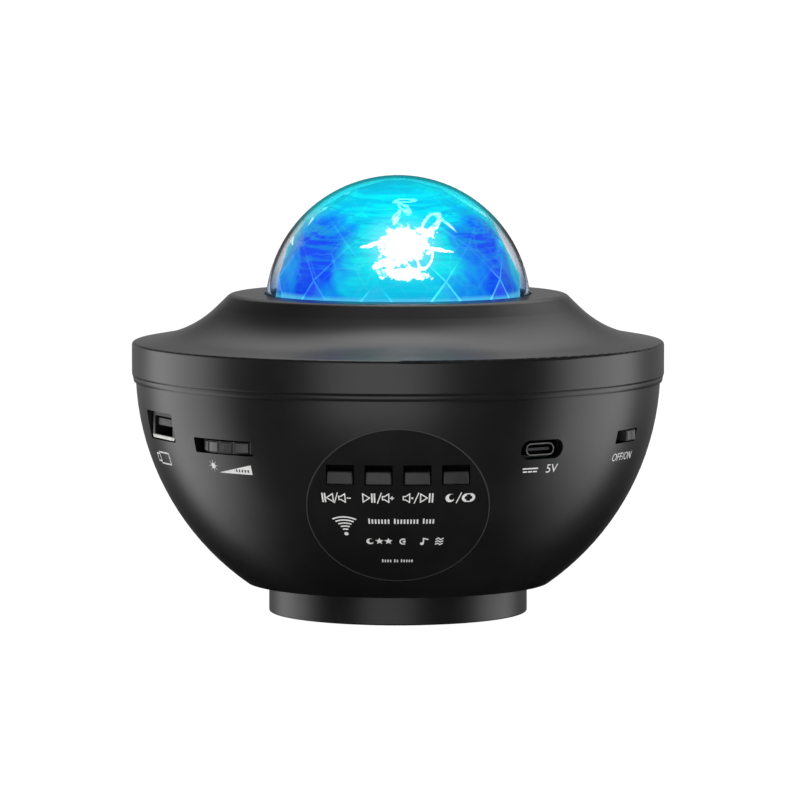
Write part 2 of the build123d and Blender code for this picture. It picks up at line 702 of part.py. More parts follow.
parts = {
    "lower_housing": lower_housing,
    "control_panel": control_panel,
    "top_cover": top_cover,
    "base_cover": base_cover,
    "foot_ring": foot_ring,
    "base_screws": base_screws,
    "outer_dome": outer_dome,
    "dome_clamp_ring": dome_clamp_ring,
    "clamp_screws": clamp_screws,
    "ripple_dome": ripple_dome,
    "dome_gear": dome_gear,
    "drive_pinion": drive_pinion,
    "drive_shaft": drive_shaft,
    "motor_gearbox": motor_gearbox,
    "drive_motor": drive_motor,
    "motor_screws": motor_screws,
    "light_deck": light_deck,
    "deck_screws": deck_screws,
    "heat_sink": heat_sink,
    "led_board": led_board,
    "led_emitters": led_emitters,
    "reflector": reflector,
    "laser_module": laser_module,
    "grating_cap": grating_cap,
    "main_board": main_board,
    "board_screws": board_screws,
    "radio_module": radio_module,
    "controller_chips": controller_chips,
    "capacitors": capacitors,
    "lead_connectors": lead_connectors,
    "key_board": key_board,
    "key_switches": key_switches,
    "ir_receiver": ir_receiver,
    "dimmer_wheel": dimmer_wheel,
    "dimmer_body": dimmer_body,
    "power_switch_body": power_switch_body,
    "power_switch_knob": power_switch_knob,
    "usb_a_shell": usb_a_shell,
    "usb_a_insert": usb_a_insert,
    "usb_c_shell": usb_c_shell,
    "usb_c_insert": usb_c_insert,
    "speaker_basket": speaker_basket,
    "speaker_magnet": speaker_magnet,
    "speaker_cone": speaker_cone,
    "voice_coil": voice_coil,
    "speaker_surround": speaker_surround,
    "speaker_gasket": speaker_gasket,
    "speaker_screws": speaker_screws,
    "speaker_leads": speaker_leads,
    "motor_leads": motor_leads,
    "led_leads": led_leads,
}
for name, place in zip(key_names, key_places):
    parts[name + "_button"] = lambda place=place: button(place)
    parts[name + "_plunger"] = lambda place=place: plunger(place)

os.makedirs("parts", exist_ok=True)
for name, make in parts.items():
    made = make()
    pieces = made if isinstance(made, list) else [made]
    solids = [solid for piece in pieces for solid in piece.solids()]
    export_step(solids[0] if len(solids) == 1 else Compound(solids), f"parts/{name}.step")
    print(name, len(solids))
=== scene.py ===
# Star night light projector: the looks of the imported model.
# Blender works in metres, in the frame of the CAD: Z up, the key panel faces -Y.
# A name that ends in Mm is in millimetres.
import bpy
import math
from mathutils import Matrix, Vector
from mathutils.bvhtree import BVHTree


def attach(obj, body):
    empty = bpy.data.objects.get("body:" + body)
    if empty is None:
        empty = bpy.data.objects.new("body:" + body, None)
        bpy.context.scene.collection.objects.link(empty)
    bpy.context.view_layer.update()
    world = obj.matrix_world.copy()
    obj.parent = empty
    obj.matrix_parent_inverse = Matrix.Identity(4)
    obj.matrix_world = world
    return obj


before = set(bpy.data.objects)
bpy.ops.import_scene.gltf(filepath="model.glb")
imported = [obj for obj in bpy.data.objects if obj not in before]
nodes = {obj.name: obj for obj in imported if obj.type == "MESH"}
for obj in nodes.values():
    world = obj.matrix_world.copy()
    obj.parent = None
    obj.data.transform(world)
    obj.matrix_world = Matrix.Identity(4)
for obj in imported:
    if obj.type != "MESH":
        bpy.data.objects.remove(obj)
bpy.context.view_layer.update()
mm = 0.001
print("frame loaded,", len(nodes), "nodes")

# ---- camera ----
# place in metres, tilt in degrees, lens in mm, and the sideways shift as a share of the sensor
cameraLook = {"place": (0.0, -1.5259, 0.1868), "tilt": 85.19, "lens": 250.8, "shift": 0.0025}


def makeCamera(look):
    data = bpy.data.cameras.new("camera")
    data.lens, data.shift_x = look["lens"], look["shift"]
    camera = bpy.data.objects.new("camera", data)
    camera.location = look["place"]
    camera.rotation_euler = (math.radians(look["tilt"]), 0, 0)
    bpy.context.scene.collection.objects.link(camera)
    bpy.context.scene.camera = camera


makeCamera(cameraLook)


# ---- shared tools for materials ----
def linear(colour):
    # an sRGB hex colour as the linear one that the shaders want
    parts = [int(colour[k:k + 2], 16) / 255 for k in (1, 3, 5)]
    return [p / 12.92 if p <= 0.04045 else ((p + 0.055) / 1.055) ** 2.4 for p in parts] + [1.0]


def addNode(tree, kind, inputs=(), stops=(), **settings):
    # inputs are values, sockets or nodes, by socket name or in order; stops are a ramp's places and colours
    node = tree.nodes.new("ShaderNode" + kind)
    for name, value in settings.items():
        setattr(node, name, value)
    for key, value in (inputs.items() if isinstance(inputs, dict) else enumerate(inputs)):
        if isinstance(value, bpy.types.Node):
            value = value.outputs[0]
        if isinstance(value, bpy.types.NodeSocket):
            tree.links.new(value, node.inputs[key])
        else:
            node.inputs[key].default_value = value
    for k, (place, colour) in enumerate(stops):
        stop = node.color_ramp.elements[k] if k < 2 else node.color_ramp.elements.new(place)
        stop.position, stop.color = place, linear(colour)
    return node


def ramp(tree, value, start, end, low=0.0, high=1.0, smooth=False):
    # carries the span from start to end onto low to high, and holds the value beyond it
    return addNode(tree, "MapRange", {
        "Value": value, "From Min": start, "From Max": end, "To Min": low, "To Max": high,
    }, interpolation_type="SMOOTHSTEP" if smooth else "LINEAR")


def blend(tree, share, first, second):
    # mixes two colours, each a hex colour, a socket or a node
    first, second = (linear(colour) if isinstance(colour, str) else colour for colour in (first, second))
    return addNode(tree, "Mix", {0: share, 6: first, 7: second}, data_type="RGBA").outputs[2]


def startMaterial(name):
    material = bpy.data.materials.new(name)
    material.use_nodes = True
    material.node_tree.nodes.clear()
    return material, material.node_tree


# noise seldom leaves these spans, alone and as the sum of two
oneNoise, twoNoises = (0.36, 0.64), (0.7, 1.3)


def surface(name, look):
    # broad patches vary the colour and the gloss, and a fine grain makes the bump, as on real moulded or plated parts
    material, tree = startMaterial(name)
    place = addNode(tree, "TexCoord").outputs["Object"]
    broad = addNode(tree, "TexNoise", {"Vector": place, "Scale": 1 / (look["patchMm"] * mm), "Detail": 4.0})
    grainScale = [1 / (size * mm) for size in look["grainMm"]]
    stretched = addNode(tree, "Mapping", {"Vector": place, "Scale": grainScale})
    fine = addNode(tree, "TexNoise", {"Vector": stretched, "Scale": 1.0, "Detail": 2.0})
    both = addNode(tree, "Math", (broad, fine), operation="ADD")
    rough = ramp(tree, both, *twoNoises, *look["rough"])
    colour = addNode(tree, "ValToRGB", {"Fac": broad}, stops=zip(oneNoise, (look["colour"], look["shade"])))
    bump = addNode(tree, "Bump", {"Height": fine, "Distance": look["bumpMm"] * mm})
    if "paintedZone" in look:
        # a part of the piece with another colour and finish, by its distance from an axis, which paints shade or a
        # highlight onto it: reachMm says where the painted zone begins and where it is full
        paintedZone = look["paintedZone"]
        away = addNode(tree, "VectorMath", (place, [c * mm for c in paintedZone["origin"]]), operation="SUBTRACT")
        cross = addNode(tree, "VectorMath", (away, paintedZone["axis"]), operation="CROSS_PRODUCT")
        reach = addNode(tree, "VectorMath", (cross,), operation="LENGTH").outputs["Value"]
        inPaintedZone = ramp(tree, reach, *(edge * mm for edge in paintedZone["reachMm"]))
        colour = blend(tree, inPaintedZone, colour, paintedZone["colour"])
        rough = addNode(tree, "Mix", {0: inPaintedZone, 2: rough, 3: paintedZone["rough"]})
    shader = addNode(tree, "BsdfPrincipled", {"Base Color": colour, "Roughness": rough, "Normal": bump})
    for socket, value in look.get("shader", {}).items():
        shader.inputs[socket].default_value = value
    addNode(tree, "OutputMaterial", (shader,))
    return material


def dress(material, *names):
    for name in names:
        data = nodes[name].data
        data.materials.clear()
        data.materials.append(material)


# ---- plastics, as moulded ----
bowlCentreMm = (0.0, 0.0, 67.3)
panelTilt = math.radians(28.3)  # how far below the horizontal the panel looks
panelAxis = (0.0, -math.cos(panelTilt), -math.sin(panelTilt))
plastics = {
    # ABS from a spark-eroded mould: a satin black with a faint grain, slightly glossier in patches
    "blackAbs": {
        "colour": "#161617", "shade": "#1c1c1d", "rough": (0.28, 0.315), "patchMm": 22.0, "grainMm": (0.7, 0.7, 0.7),
        "bumpMm": 0.0015, "shader": {"Specular IOR Level": 0.35},
    },
    # the same ABS on the base, which the mould left a little more matt
    "baseAbs": {
        "colour": "#171718", "shade": "#1e1e1f", "rough": (0.33, 0.4), "patchMm": 14.0, "grainMm": (0.6, 0.6, 0.6),
        "bumpMm": 0.003, "shader": {"Specular IOR Level": 0.3},
    },
    # polycarbonate film on the panel: smooth, and darker than the shell round it
    "panelFilm": {
        "colour": "#161616", "shade": "#1a1a1a", "rough": (0.5, 0.6), "patchMm": 9.0, "grainMm": (0.5, 0.5, 0.5),
        "bumpMm": 0.002, "shader": {"Specular IOR Level": 0.08},
        # its edge is painted lighter all round: a painted highlight where the recess edge catches the light
        "paintedZone": {
            "origin": bowlCentreMm, "axis": panelAxis, "reachMm": (23.95, 24.1), "colour": "#4a4a4a", "rough": 0.6,
        },
    },
    # keys of a softer black ABS, worn slightly pale
    "keyAbs": {
        "colour": "#262627", "shade": "#2e2e2f", "rough": (0.42, 0.55), "patchMm": 3.0, "grainMm": (0.4, 0.4, 0.4),
        "bumpMm": 0.008, "shader": {"Specular IOR Level": 0.4},
        # the flange, which lies inside the wall, is painted near black and dull: painted shade for the dark gap behind
        # the panel
        "paintedZone": {
            "origin": (0.0, 0.0, 0.0), "axis": (0.0, 0.0, 1.0), "reachMm": (66.4, 65.4), "colour": "#030303",
            "rough": 1.0,
        },
    },
    # the thumbwheel and the switch knob: grey-black nylon
    "wheelNylon": {
        "colour": "#303031", "shade": "#3b3b3c", "rough": (0.38, 0.5), "patchMm": 2.5, "grainMm": (0.4, 0.4, 0.4),
        "bumpMm": 0.010, "shader": {"Specular IOR Level": 0.5},
    },
    # acetal gears: milky white and slippery
    "whiteAcetal": {
        "colour": "#e9e7df", "shade": "#f3f1ea", "rough": (0.28, 0.38), "patchMm": 8.0, "grainMm": (0.6, 0.6, 0.6),
        "bumpMm": 0.004, "shader": {"Subsurface Weight": 0.08, "Subsurface Scale": 0.002},
    },
    # polystyrene of the reflector and the clamp ring: matt white that scatters the light
    "whiteStyrene": {
        "colour": "#e8e8e6", "shade": "#f2f2f0", "rough": (0.5, 0.62), "patchMm": 10.0, "grainMm": (0.5, 0.5, 0.5),
        "bumpMm": 0.006, "shader": {},
    },
    # the glass-filled nylon of the inner bodies and the sockets' tongues
    "blackNylon": {
        "colour": "#1b1b1c", "shade": "#262627", "rough": (0.45, 0.6), "patchMm": 4.0, "grainMm": (0.3, 0.3, 0.9),
        "bumpMm": 0.010, "shader": {},
    },
    # epoxy packages of the chips: dark grey, faintly sparkling with filler
    "chipEpoxy": {
        "colour": "#232425", "shade": "#2d2e30", "rough": (0.5, 0.65), "patchMm": 1.2, "grainMm": (0.25, 0.25, 0.25),
        "bumpMm": 0.012, "shader": {},
    },
    # printed sleeve of the capacitors: shrunk film, glossy
    "capacitorSleeve": {
        "colour": "#20242f", "shade": "#2a3040", "rough": (0.25, 0.35), "patchMm": 5.0, "grainMm": (1.2, 1.2, 0.3),
        "bumpMm": 0.010, "shader": {},
    },
    # wire insulation: glossy red vinyl
    "redVinyl": {
        "colour": "#a01818", "shade": "#b82222", "rough": (0.3, 0.42), "patchMm": 6.0, "grainMm": (0.5, 0.5, 2.0),
        "bumpMm": 0.010, "shader": {},
    },
    # the solder mask over copper of the boards
    "greenMask": {
        "colour": "#0f4a2c", "shade": "#17603a", "rough": (0.25, 0.4), "patchMm": 3.0, "grainMm": (0.8, 3.0, 0.8),
        "bumpMm": 0.020, "shader": {"Coat Weight": 0.3},
    },
    "whiteMask": {
        "colour": "#dfe2df", "shade": "#eef0ee", "rough": (0.3, 0.42), "patchMm": 3.0, "grainMm": (0.8, 3.0, 0.8),
        "bumpMm": 0.020, "shader": {"Coat Weight": 0.3},
    },
    "blueMask": {
        "colour": "#123a7a", "shade": "#1b4c96", "rough": (0.25, 0.4), "patchMm": 2.0, "grainMm": (0.8, 2.0, 0.8),
        "bumpMm": 0.020, "shader": {"Coat Weight": 0.3},
    },
    # silicone over the LED chips, warm with phosphor
    "phosphorGel": {
        "colour": "#e8d36a", "shade": "#f2e6a0", "rough": (0.15, 0.25), "patchMm": 1.5, "grainMm": (0.4, 0.4, 0.4),
        "bumpMm": 0.004, "shader": {"Subsurface Weight": 0.2, "Subsurface Scale": 0.001},
    },
}

# ---- rubber and paper ----
softMaterials = {
    # the foot: thermoplastic rubber, dull, with dust in its grain
    "footRubber": {
        "colour": "#1a1a1a", "shade": "#262626", "rough": (0.7, 0.85), "patchMm": 5.0, "grainMm": (0.5, 0.5, 0.5),
        "bumpMm": 0.030, "shader": {"Specular IOR Level": 0.3},
    },
    # the speaker's roll and gasket
    "rollRubber": {
        "colour": "#202021", "shade": "#2a2a2b", "rough": (0.55, 0.7), "patchMm": 4.0, "grainMm": (0.4, 0.4, 0.4),
        "bumpMm": 0.015, "shader": {},
    },
    # pressed paper pulp with long fibres
    "conePaper": {
        "colour": "#2b2926", "shade": "#3c3934", "rough": (0.8, 0.95), "patchMm": 1.6, "grainMm": (0.3, 1.5, 0.3),
        "bumpMm": 0.060, "shader": {"Sheen Weight": 0.2},
    },
}

# ---- metals ----
metal = {"Metallic": 1.0}
metals = {
    # zinc plating on screws: bright, slightly blue and blotched
    "zincPlate": {
        "colour": "#b9bdc2", "shade": "#a4a9b0", "rough": (0.25, 0.38), "patchMm": 1.5, "grainMm": (0.2, 0.2, 0.2),
        "bumpMm": 0.008, "shader": metal,
    },
    # drawn nickel-plated steel of the sockets: fine lines along the draw
    "nickelSteel": {
        "colour": "#82817e", "shade": "#6b6a67", "rough": (0.28, 0.42), "patchMm": 2.0, "grainMm": (1.4, 1.4, 0.15),
        "bumpMm": 0.006, "shader": metal,
    },
    # the same nickel on the USB-A shell, painted dark away from a thin strip along the lower lip: painted shade inside
    # the socket, with the lip left bright as a painted highlight
    "nickelPaintedLipLight": {
        "colour": "#b4b3b0", "shade": "#9c9b98", "rough": (0.25, 0.38), "patchMm": 2.0, "grainMm": (1.4, 1.4, 0.15),
        "bumpMm": 0.006, "shader": metal,
        # the painted shade: everything farther than reachMm from the lip's line turns dark
        "paintedZone": {
            "origin": (-62.97, -28.7, 50.35), "axis": (0.4147, -0.91, 0.0), "reachMm": (0.55, 0.95),
            "colour": "#343332", "rough": 0.45,
        },
    },
    # rolled steel of the motor can and the speaker's frame, passivated to a yellowish grey
    "rolledSteel": {
        "colour": "#a9a8a1", "shade": "#929189", "rough": (0.3, 0.45), "patchMm": 6.0, "grainMm": (0.2, 0.2, 2.5),
        "bumpMm": 0.008, "shader": metal,
    },
    # extruded aluminium, with lines along the extrusion
    "extrudedAluminium": {
        "colour": "#c9cbcd", "shade": "#b6b8bb", "rough": (0.3, 0.42), "patchMm": 8.0, "grainMm": (0.15, 3.0, 0.15),
        "bumpMm": 0.010, "shader": metal,
    },
    # turned brass, ringed by the tool
    "turnedBrass": {
        "colour": "#c9a04e", "shade": "#b58a3c", "rough": (0.18, 0.3), "patchMm": 3.0, "grainMm": (2.0, 2.0, 0.15),
        "bumpMm": 0.008, "shader": metal,
    },
    # enamelled copper wire, wound close
    "woundCopper": {
        "colour": "#b5622f", "shade": "#9c4f22", "rough": (0.25, 0.35), "patchMm": 2.0, "grainMm": (4.0, 4.0, 0.2),
        "bumpMm": 0.030, "shader": metal,
    },
    # sintered ferrite, dull grey
    "ferrite": {
        "colour": "#3a3a3c", "shade": "#48484a", "rough": (0.55, 0.7), "patchMm": 4.0, "grainMm": (0.3, 0.3, 0.3),
        "bumpMm": 0.020, "shader": {"Metallic": 0.4},
    },
}
made = {name: surface(name, look) for group in (plastics, softMaterials, metals) for name, look in group.items()}
keyNames = ("previous", "next", "play", "mode")
wearing = {
    "blackAbs": ("lower_housing", "top_cover"),
    "baseAbs": ("base_cover",),
    "panelFilm": ("control_panel",),
    "keyAbs": tuple(name + "_button" for name in keyNames),
    "wheelNylon": ("dimmer_wheel", "power_switch_knob"),
    "whiteAcetal": ("dome_gear", "drive_pinion", *(name + "_plunger" for name in keyNames)),
    "whiteStyrene": ("reflector", "dome_clamp_ring", "lead_connectors"),
    "blackNylon": (
        "light_deck", "grating_cap", "usb_a_insert", "usb_c_insert", "key_switches", "dimmer_body", "motor_gearbox",
    ),
    "chipEpoxy": ("controller_chips", "ir_receiver"),
    "capacitorSleeve": ("capacitors",),
    "redVinyl": ("speaker_leads", "motor_leads", "led_leads"),
    "greenMask": ("main_board", "key_board"),
    "whiteMask": ("led_board",),
    "blueMask": ("radio_module",),
    "phosphorGel": ("led_emitters",),
    "footRubber": ("foot_ring",),
    "rollRubber": ("speaker_surround", "speaker_gasket"),
    "conePaper": ("speaker_cone",),
    "zincPlate": ("base_screws", "clamp_screws", "motor_screws", "deck_screws", "board_screws", "speaker_screws"),
    "nickelSteel": ("usb_c_shell", "power_switch_body"),
    "nickelPaintedLipLight": ("usb_a_shell",),
    "rolledSteel": ("drive_motor", "drive_shaft", "speaker_basket"),
    "extrudedAluminium": ("heat_sink",),
    "turnedBrass": ("laser_module",),
    "woundCopper": ("voice_coil",),
    "ferrite": ("speaker_magnet",),
}
for name, names in wearing.items():
    dress(made[name], *names)
print("plastics, rubber, paper and metals made,", len(made))

# ---- bead under the skirt ----
beadLook = {
    # half section, as radius and height in mm; its inner edge is buried in the cover's bevel and the bowl's lip
    "section": ((71.9, 64.0), (72.42, 64.0), (72.5, 64.08), (72.78, 65.5), (72.7, 65.6), (71.9, 65.6)),
    "parts": 360, "sharpDegrees": 50,
}


def makeBead(look):
    # a narrow raised band between the skirt and the bowl, which covers the seam there
    section, parts = look["section"], look["parts"]
    turns = [2 * math.pi * k / parts for k in range(parts)]
    points = [(r * mm * math.cos(t), r * mm * math.sin(t), z * mm) for t in turns for r, z in section]
    count, faces = len(section), []
    for k in range(parts):
        a, b = k * count, (k + 1) % parts * count
        faces += [(a + i, b + i, b + (i + 1) % count, a + (i + 1) % count) for i in range(count)]
    mesh = bpy.data.meshes.new("skirt_bead")
    mesh.from_pydata(points, [], faces)
    mesh.shade_smooth()
    mesh.set_sharp_from_angle(angle=math.radians(look["sharpDegrees"]))
    mesh.materials.append(made["blackAbs"])
    bead = bpy.data.objects.new("skirt_bead", mesh)
    bpy.context.scene.collection.objects.link(bead)
    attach(bead, "housing")


makeBead(beadLook)
print("bead made")

# ---- clear dome ----
domeLook = {
    "ior": 1.3, "rough": (0.0, 0.02), "tint": "#f1f5fb",
    # the melt's flow: size of its waves, height of the ripple, and the span of noise that changes the gloss
    "flowMm": 16.0, "bumpMm": 0.05, "flowSpan": (0.4, 0.7),
    # heights between which a painted glow and a painted cyan tint come up in the wall, standing for light caught
    # there, with their colours and strength
    "crownMm": (103.0, 114.0), "crownPaintedTint": "#74f6fc", "paintedWallGlow": "#19d2e2", "paintedWallGlowPower": 0.12,
    # heights between which, going down, the wall is painted with the blue of the facets beside it, a painted
    # reflection
    "footMm": (97.0, 87.0), "footPaintedReflection": "#bcd2f0",
}


def clearPolycarbonate(look):
    # injection-moulded polycarbonate: water clear, with the faintest ripple from the flow of the melt
    material, tree = startMaterial("clearPolycarbonate")
    place = addNode(tree, "TexCoord").outputs["Object"]
    flow = addNode(tree, "TexNoise", {"Vector": place, "Scale": 1 / (look["flowMm"] * mm), "Detail": 1.0})
    rough = ramp(tree, flow, *look["flowSpan"], *look["rough"])
    bump = addNode(tree, "Bump", {"Height": flow, "Distance": look["bumpMm"] * mm})
    height = addNode(tree, "SeparateXYZ", (place,)).outputs["Z"]
    # the crown gets a painted cyan tint and a painted glow
    crown = ramp(tree, height, *(edge * mm for edge in look["crownMm"]), smooth=True)
    tint = blend(tree, crown, look["tint"], look["crownPaintedTint"])
    # low down the wall is painted with the facets' blue: a painted reflection
    foot = ramp(tree, height, *(edge * mm for edge in look["footMm"]), smooth=True)
    tint = blend(tree, foot, tint, look["footPaintedReflection"])
    paintedWallLight = addNode(tree, "Math", (crown, look["paintedWallGlowPower"]), operation="MULTIPLY")
    shader = addNode(tree, "BsdfPrincipled", {
        "Base Color": tint, "Roughness": rough, "IOR": look["ior"], "Transmission Weight": 1.0, "Normal": bump,
        "Emission Color": linear(look["paintedWallGlow"]), "Emission Strength": paintedWallLight,
    })
    addNode(tree, "OutputMaterial", (shader,))
    return material


dress(clearPolycarbonate(domeLook), "outer_dome")

# ---- faceted dome ----
rippleLook = {
    # lengths are in mm, and pattern scales are waves in a mm
    # the ball's centre, the bore's radius, and how far outside it a point still counts as bore
    "centre": (0.0, 0.0, 83.8), "bore": 30.7, "boreSkin": 0.35,
    # the first star's azimuth from the front and its rise above the centre, in degrees, and how many stars there are
    "starTurn": 3.0, "starRise": 36.5, "stars": 3,
    "cyan": "#0aecee", "midBlue": "#10a6f4", "deepBlue": "#004cf4", "rippleBlue": "#0cacd6", "pale": "#7ff4fa",
    "white": "#ffffff", "unlit": "#02050c", "glow": 1.15, "starGlow": 2.0, "ior": 1.49, "rough": 0.03,
    # the wobble of all lines of light, and how far it bends them
    "wobble": 0.3, "bend": 1.8,
    # blots in the wash, their weight, the sums between which blue takes over, and where the colours of the wash lie
    "blots": 0.085, "blotShare": 1.3, "blueSpan": (1.05, 1.72), "washStops": (0.0, 0.4, 0.85),
    # heights above the centre between which the crown turns cyan, and how much
    "crownRise": (22.0, 30.0), "crownShare": 0.9,
    # level ripples: scale, heights between which they grow from their least to full, the noise they take, and how much
    "ripples": (0.07, 0.07, 1.1), "rippleRise": (10.0, 24.0), "rippleLeast": 0.25, "rippleSpan": (0.4, 0.56),
    "rippleShare": 0.75,
    # ragged edges of the splashes: scale, the noise they take and how far it tears them, and where an edge fades
    "spray": 0.5, "spraySpan": (0.3, 0.7), "tear": 0.5, "splashEdge": (1.1, 0.85),
    # a loop's bright core as a share of its thickness, and its brightness for each mm of that
    "lineCore": 0.3, "lineBright": 2.4,
    # the caustic web: scale, where its lines fade, their share, distances from the star where it grows, and its least
    "web": 0.13, "webLine": (0.04, 0.01), "webShare": 0.13, "webReach": (30.0, 12.0), "webLeast": 0.3,
    # distances from the star between which its halo grows, and the heights where the foot's light does
    "haloReach": (12.0, 4.5), "haloShare": 0.85, "footRise": (4.7, 3.6), "footShare": 0.8,
    # the facets' tones, and how coarsely their directions are told apart
    "facetPale": "#f4fcff", "facetBlue": "#bcdcfc", "facetSnap": 0.04,
    # the rounded edges: their shape, and their painted light, which grows downwards between two heights and comes in
    # patches
    "bevelMm": 0.25, "bevelSegments": 2, "bevelDegrees": 10, "weldMm": 0.001,
    "edgeClear": "#e6f8ff", "edgeRough": 0.05, "edgeBlue": "#6fe0ff", "edgeGlow": 0.9, "edgeLeast": 0.1,
    "edgeRise": (14.0, 4.0), "edgePatchMm": 14.0, "edgeSpan": (0.38, 0.56),
    # loops and strands of focused light near the star: across and up from it, half axes, turn in degrees, thickness
    "loops": (
        (7.6, 7.4, 3.8, 1.5, 60.0, 0.5), (5.6, -3.8, 2.9, 1.7, 70.0, 0.42), (-1.2, 8.8, 2.0, 0.5, 66.0, 0.4),
        (0.7, 12.0, 1.9, 0.6, 118.0, 0.4), (1.0, 15.2, 2.3, 0.7, 12.0, 0.4), (10.4, 8.4, 2.6, 0.3, -35.0, 0.3),
    ),
    # white splashes: across and up from the star, half axes
    "splashes": (
        (0.2, 0.0, 6.4, 5.4), (0.2, -8.2, 6.2, 1.7), (-4.8, -5.6, 3.2, 1.5), (9.0, -0.8, 4.4, 0.6),
        (-7.0, 0.6, 3.8, 0.8), (5.6, 3.8, 2.6, 1.4),
    ),
}


def rippleAcrylic(look):
    # acrylic lit from inside: clear outside, with the LEDs' light and the laser's stars painted as glow on the smooth
    # bore, seen through the facets, each of which shifts them a little
    material, tree = startMaterial("rippleAcrylic")
    place = addNode(tree, "TexCoord").outputs["Object"]
    inMm = addNode(tree, "VectorMath", {0: place, "Scale": 1 / mm}, operation="SCALE")
    fromCentre = addNode(tree, "VectorMath", (inMm, look["centre"]), operation="SUBTRACT")
    distance = addNode(tree, "VectorMath", (fromCentre,), operation="LENGTH").outputs["Value"]
    onBore = addNode(tree, "Math", (distance, look["bore"] + look["boreSkin"]), operation="LESS_THAN")
    split = addNode(tree, "SeparateXYZ", (fromCentre,))
    sideways, depth, rise = split.outputs
    # azimuth from the front, folded so that the pattern repeats once for each star
    forward = addNode(tree, "Math", (depth, -1.0), operation="MULTIPLY")
    azimuth = addNode(tree, "Math", (sideways, forward), operation="ARCTAN2")
    turned = addNode(tree, "Math", (azimuth, math.radians(look["starTurn"])), operation="SUBTRACT")
    half = math.pi / look["stars"]
    folded = addNode(tree, "Math", (turned, -half, half), operation="WRAP")
    flat = addNode(tree, "CombineXYZ", (sideways, depth, 0.0))
    reach = addNode(tree, "VectorMath", (flat,), operation="LENGTH").outputs["Value"]
    sine = addNode(tree, "Math", (folded,), operation="SINE")
    cosine = addNode(tree, "Math", (folded,), operation="COSINE")
    across = addNode(tree, "Math", (reach, sine), operation="MULTIPLY")
    out = addNode(tree, "Math", (reach, cosine), operation="MULTIPLY")
    # up is the distance from the star along the bore's tangent
    sinRise, cosRise = (f(math.radians(look["starRise"])) for f in (math.sin, math.cos))
    lift = addNode(tree, "Math", (rise, cosRise), operation="MULTIPLY")
    drop = addNode(tree, "Math", (out, sinRise), operation="MULTIPLY")
    up = addNode(tree, "Math", (lift, drop), operation="SUBTRACT")
    chart = addNode(tree, "CombineXYZ", (across, up, 0.0))
    wobble = addNode(tree, "TexNoise", {"Vector": chart, "Scale": look["wobble"], "Detail": 3.0})
    shift = addNode(tree, "VectorMath", (wobble.outputs["Color"], (0.5, 0.5, 0.5)), operation="SUBTRACT")
    bend = (look["bend"], look["bend"], 0.0)
    bent = addNode(tree, "VectorMath", {0: shift, 1: bend, 2: chart}, operation="MULTIPLY_ADD")

    # colour: cyan about the star and over the crown, deep blue between the stars, in soft blots
    blots = addNode(tree, "TexNoise", {
        "Vector": fromCentre, "Scale": look["blots"], "Detail": 4.0, "Distortion": 0.8,
    })
    spread = addNode(tree, "Math", (folded,), operation="ABSOLUTE")
    blur = addNode(tree, "Math", (blots, look["blotShare"]), operation="MULTIPLY")
    away = addNode(tree, "Math", (spread, blur), operation="ADD")
    crown = ramp(tree, rise, *look["crownRise"], 0.0, look["crownShare"])
    blue = addNode(tree, "Math", (away, crown), operation="SUBTRACT")
    blueShare = ramp(tree, blue, *look["blueSpan"])
    colours = (look["cyan"], look["midBlue"], look["deepBlue"])
    wash = addNode(tree, "ValToRGB", {"Fac": blueShare}, stops=zip(look["washStops"], colours))
    # fine level ripples, strongest over the crown
    level = addNode(tree, "Mapping", {"Vector": fromCentre, "Scale": look["ripples"]})
    ripple = addNode(tree, "TexNoise", {"Vector": level, "Scale": 1.0, "Detail": 5.0, "Distortion": 0.5})
    rippleHigh = ramp(tree, rise, *look["rippleRise"], look["rippleLeast"])
    rippleDark = ramp(tree, ripple, *look["rippleSpan"], look["rippleShare"], 0.0)
    rippleShare = addNode(tree, "Math", (rippleHigh, rippleDark), operation="MULTIPLY")
    rippled = blend(tree, rippleShare, wash, look["rippleBlue"])

    # splashes of white with ragged edges, the largest at the star itself
    spray = addNode(tree, "TexNoise", {"Vector": chart, "Scale": look["spray"], "Detail": 6.0, "Roughness": 0.65})
    torn = ramp(tree, spray, *look["spraySpan"], -look["tear"], look["tear"])
    lines = 0.0
    for x, y, long, wide in look["splashes"]:
        moved = addNode(tree, "Mapping", {
            "Vector": bent, "Location": (x, y, 0.0), "Scale": (long, wide, 1.0),
        }, vector_type="TEXTURE")
        size = addNode(tree, "VectorMath", (moved,), operation="LENGTH").outputs["Value"]
        size = addNode(tree, "Math", (size, torn), operation="ADD")
        splash = ramp(tree, size, *look["splashEdge"], smooth=True)
        lines = addNode(tree, "Math", (lines, splash), operation="MAXIMUM")
    for x, y, long, wide, turn, thick in look["loops"]:
        moved = addNode(tree, "Mapping", {
            "Vector": bent, "Location": (x, y, 0.0), "Rotation": (0.0, 0.0, math.radians(turn)),
            "Scale": (long, wide, 1.0),
        }, vector_type="TEXTURE")
        size = addNode(tree, "VectorMath", (moved,), operation="LENGTH").outputs["Value"]
        offLine = addNode(tree, "Math", (size, 1.0), operation="SUBTRACT")
        offLine = addNode(tree, "Math", (offLine,), operation="ABSOLUTE")
        core, bright = look["lineCore"] * thick / wide, min(1.0, thick * look["lineBright"])
        line = ramp(tree, offLine, thick / wide, core, 0.0, bright, smooth=True)
        lines = addNode(tree, "Math", (lines, line), operation="MAXIMUM")
